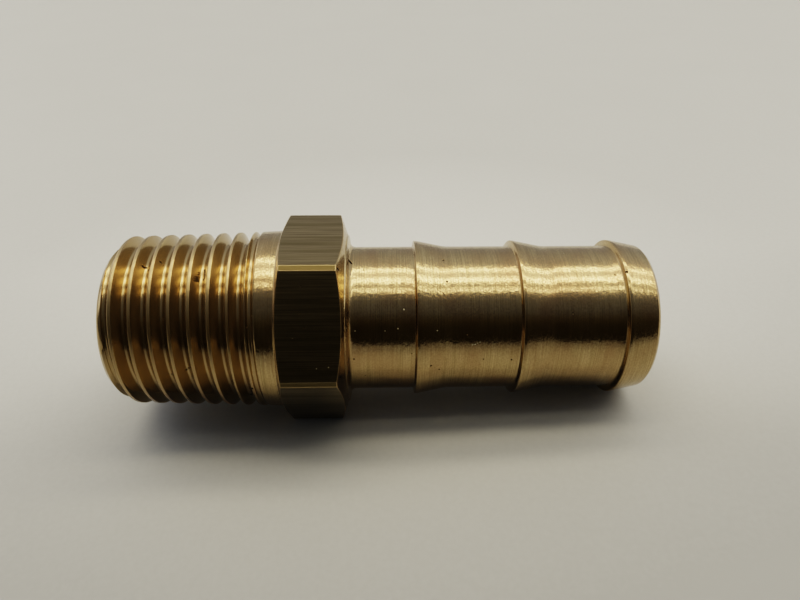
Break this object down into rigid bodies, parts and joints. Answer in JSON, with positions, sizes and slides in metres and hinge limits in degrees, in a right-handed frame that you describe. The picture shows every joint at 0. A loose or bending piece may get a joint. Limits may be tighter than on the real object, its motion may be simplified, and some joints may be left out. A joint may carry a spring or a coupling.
{
  "type": "hose barb tail",
  "caption": "Brass hose barb tail: male taper pipe thread on one end, spanner hexagon, and a barbed tail that a hose is pushed over on the other end.",
  "frame": {"origin": "on the bore's axis, where the plain collar of the pipe end meets the hexagon", "axes": "+X along the bore towards the hose end, +Z square to a flat of the hexagon and up, with the opposite flat underneath"},
  "size_m": [0.0396, 0.016, 0.014],
  "materials": {
    "brass": "turned and drawn brass, bare, lightly tarnished"
  },
  "bodies": {
    "root": {"hose_tail": "brass"}
  },
  "joints": []
}
